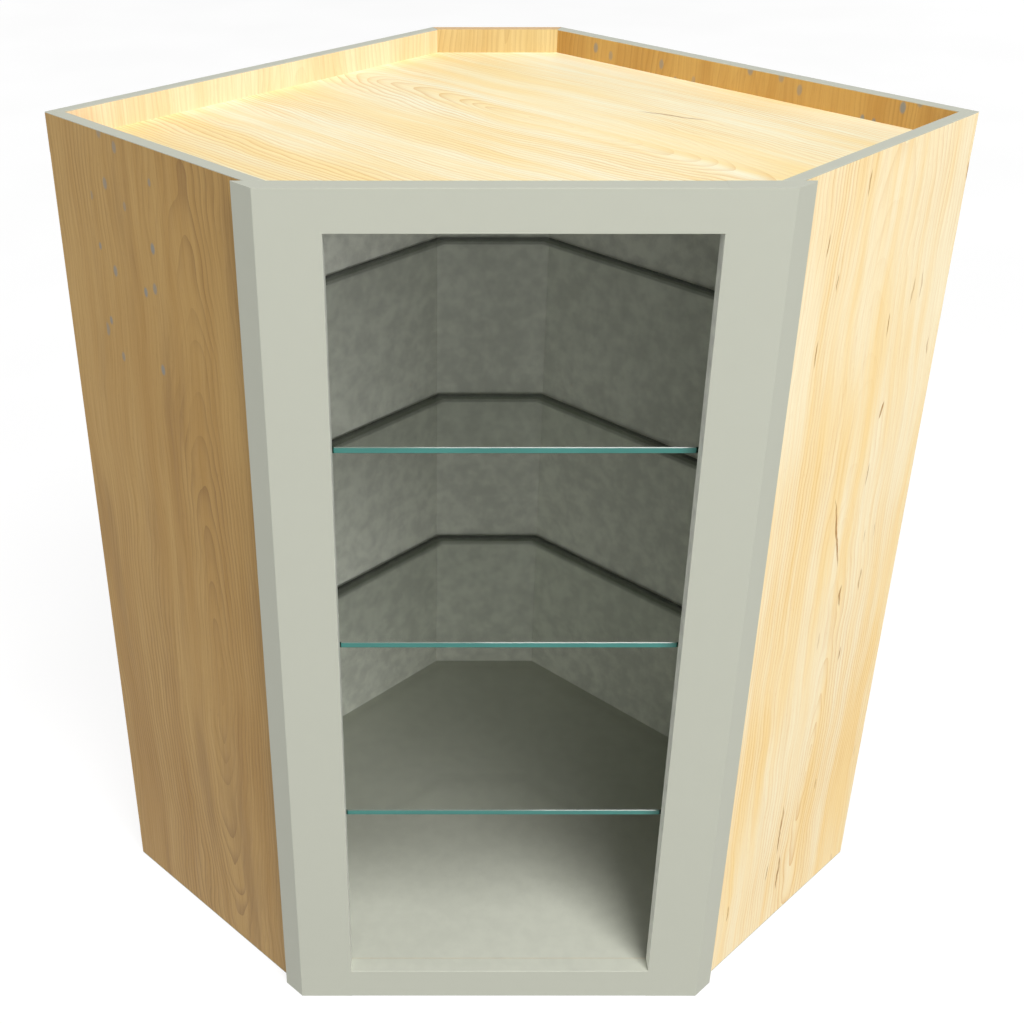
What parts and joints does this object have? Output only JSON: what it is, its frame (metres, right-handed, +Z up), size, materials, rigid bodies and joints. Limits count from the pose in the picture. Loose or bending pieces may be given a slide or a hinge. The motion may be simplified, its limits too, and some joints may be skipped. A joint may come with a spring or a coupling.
{
  "type": "corner wall cabinet",
  "caption": "Diagonal corner wall cabinet: open painted face frame, maple plywood case with a clipped rear corner, painted interior and lift-out glass shelves.",
  "frame": {"origin": "centre of the plan box, on the plane of the lower edges", "axes": "+Z up, the face frame faces -Y, the room corner lies towards +Y"},
  "size_m": [0.8622, 0.5836, 0.9144],
  "materials": {
    "painted_frame": "satin sage-grey paint",
    "maple_plywood": "natural clear coat, painted on the faces inside the case",
    "edge_band": "matt sage-grey edge band",
    "hardwood_blocks": "bare hardwood",
    "zinc_steel": "zinc plated",
    "nickel_steel": "nickel plated",
    "shelf_glass": "clear float glass with polished green edges",
    "clear_pad": "clear soft pad"
  },
  "bodies": {
    "case": {"left_stile": "painted_frame", "right_stile": "painted_frame", "top_rail": "painted_frame", "bottom_rail": "painted_frame", "frame_dowels": "hardwood_blocks", "left_end_panel": "maple_plywood", "right_end_panel": "maple_plywood", "left_back_panel": "maple_plywood", "right_back_panel": "maple_plywood", "corner_back_panel": "maple_plywood", "top_panel": "maple_plywood", "bottom_panel": "maple_plywood", "left_corner_cleat": "painted_frame", "right_corner_cleat": "painted_frame", "left_end_bands": "edge_band", "right_end_bands": "edge_band", "left_back_bands": "edge_band", "right_back_bands": "edge_band", "underside_blocks": "hardwood_blocks", "pocket_screws": "zinc_steel", "back_screws": "zinc_steel", "lower_shelf_pins": "nickel_steel", "middle_shelf_pins": "nickel_steel", "upper_shelf_pins": "nickel_steel", "lower_shelf_pads": "clear_pad", "middle_shelf_pads": "clear_pad", "upper_shelf_pads": "clear_pad"},
    "lower_shelf": {"lower_glass_shelf": "shelf_glass"},
    "middle_shelf": {"middle_glass_shelf": "shelf_glass"},
    "upper_shelf": {"upper_glass_shelf": "shelf_glass"}
  },
  "joints": [
    {"name": "lower_shelf_lift", "type": "slide", "parent": "case", "child": "lower_shelf", "axis": [0, 0, 1], "range_m": [0, 0.186]},
    {"name": "middle_shelf_lift", "type": "slide", "parent": "case", "child": "middle_shelf", "axis": [0, 0, 1], "range_m": [0, 0.186]},
    {"name": "upper_shelf_lift", "type": "slide", "parent": "case", "child": "upper_shelf", "axis": [0, 0, 1], "range_m": [0, 0.2]}
  ]
}
